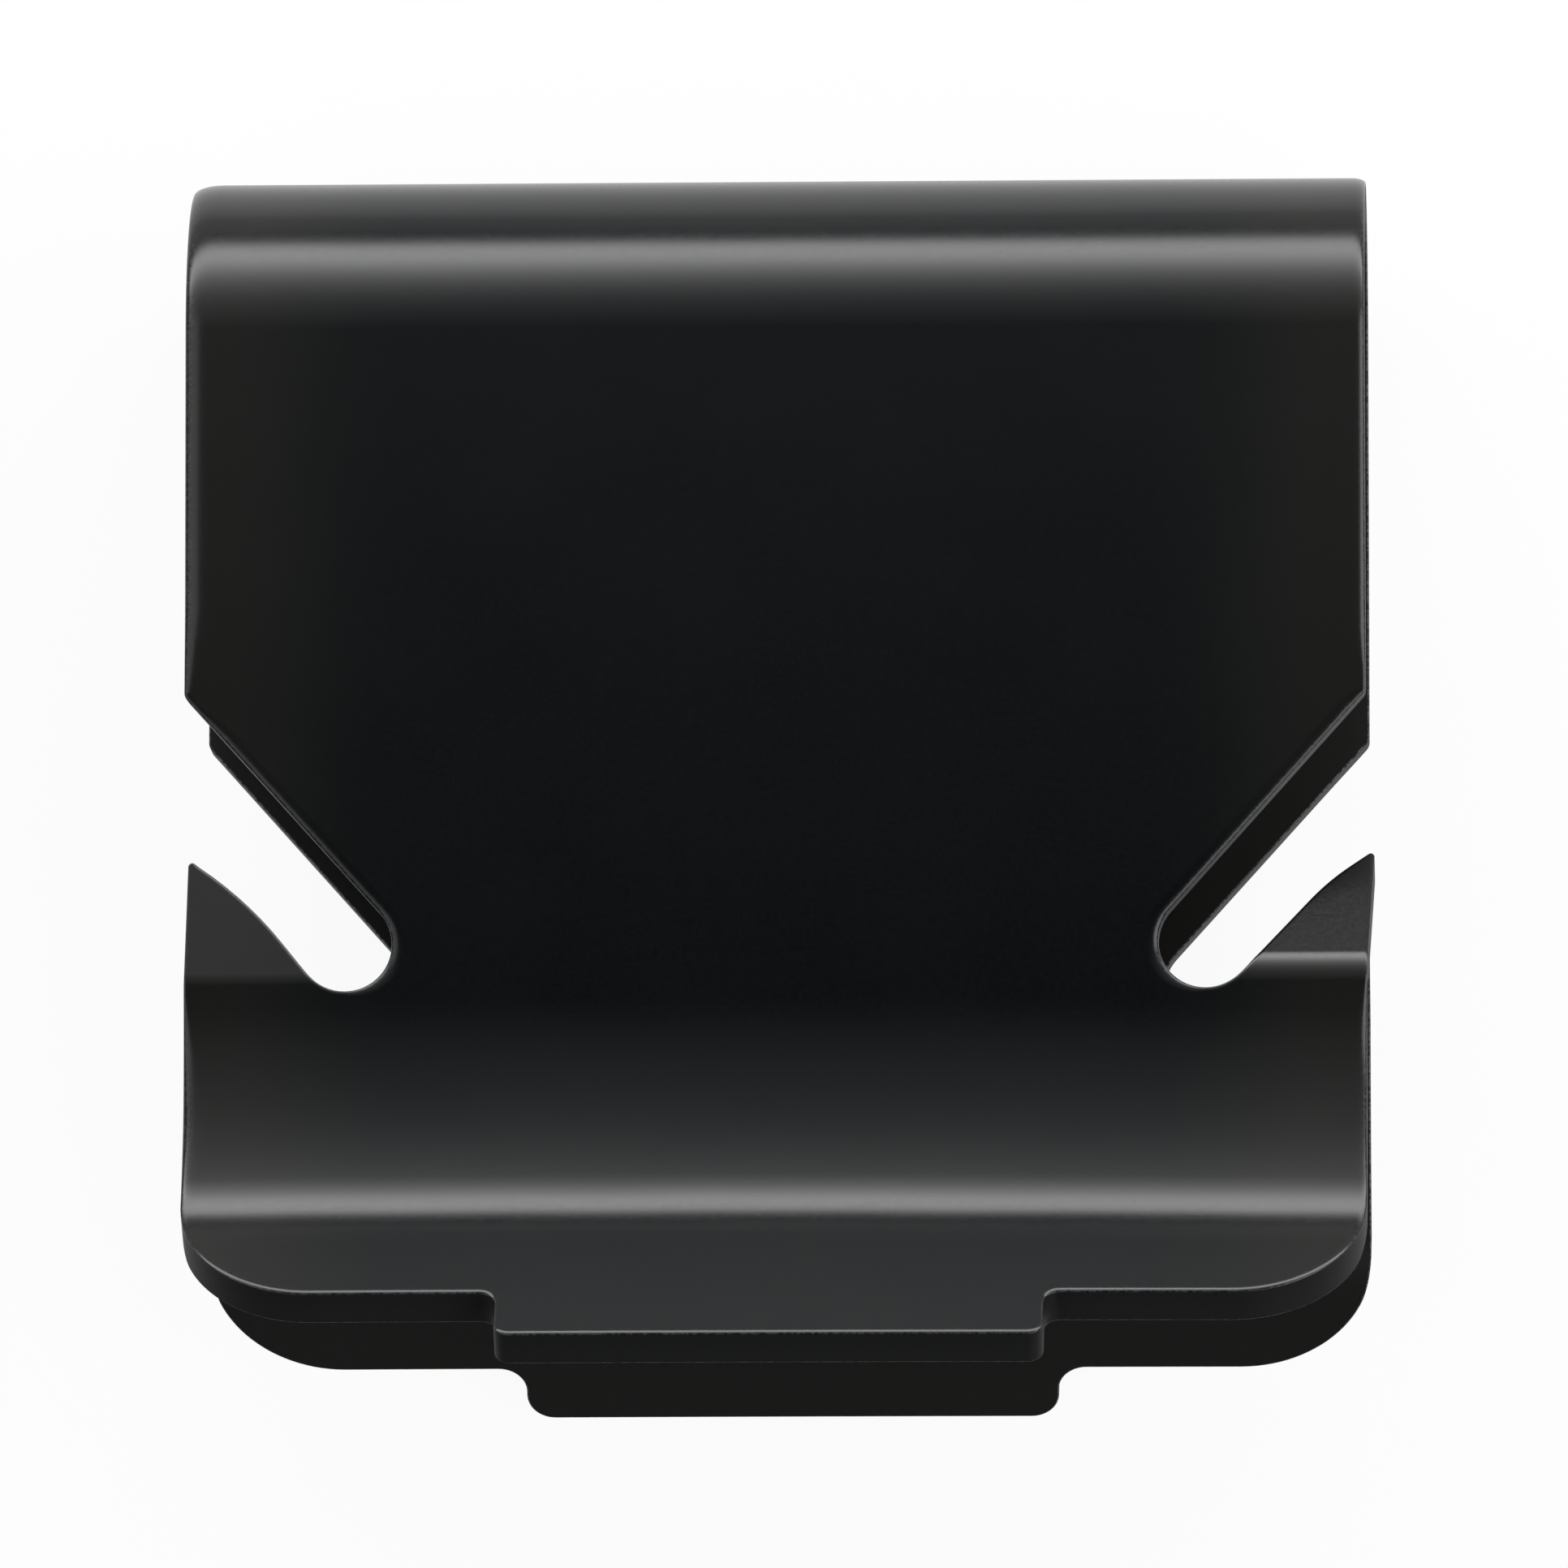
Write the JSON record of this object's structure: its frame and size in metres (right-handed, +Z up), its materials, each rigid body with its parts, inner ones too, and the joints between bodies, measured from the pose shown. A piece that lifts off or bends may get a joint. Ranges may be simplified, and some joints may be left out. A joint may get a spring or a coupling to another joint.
{
  "type": "u-shaped spring steel edge clip",
  "caption": "U-shaped sheet-metal spring clip that slides over a panel edge, with slotted side barbs folded into its gap and flared, tabbed lips at its mouth.",
  "frame": {"origin": "centre of the footprint, on the table that the clip lies on", "axes": "+X across the strip, along the closed bend; +Y towards the closed bend, away from the mouth; +Z up"},
  "size_m": [0.015, 0.016, 0.0078],
  "materials": {
    "coated_spring_steel": "black phosphate and oil on spring steel, semi-gloss"
  },
  "bodies": {
    "root": {"spring_clip": "coated_spring_steel"}
  },
  "joints": []
}
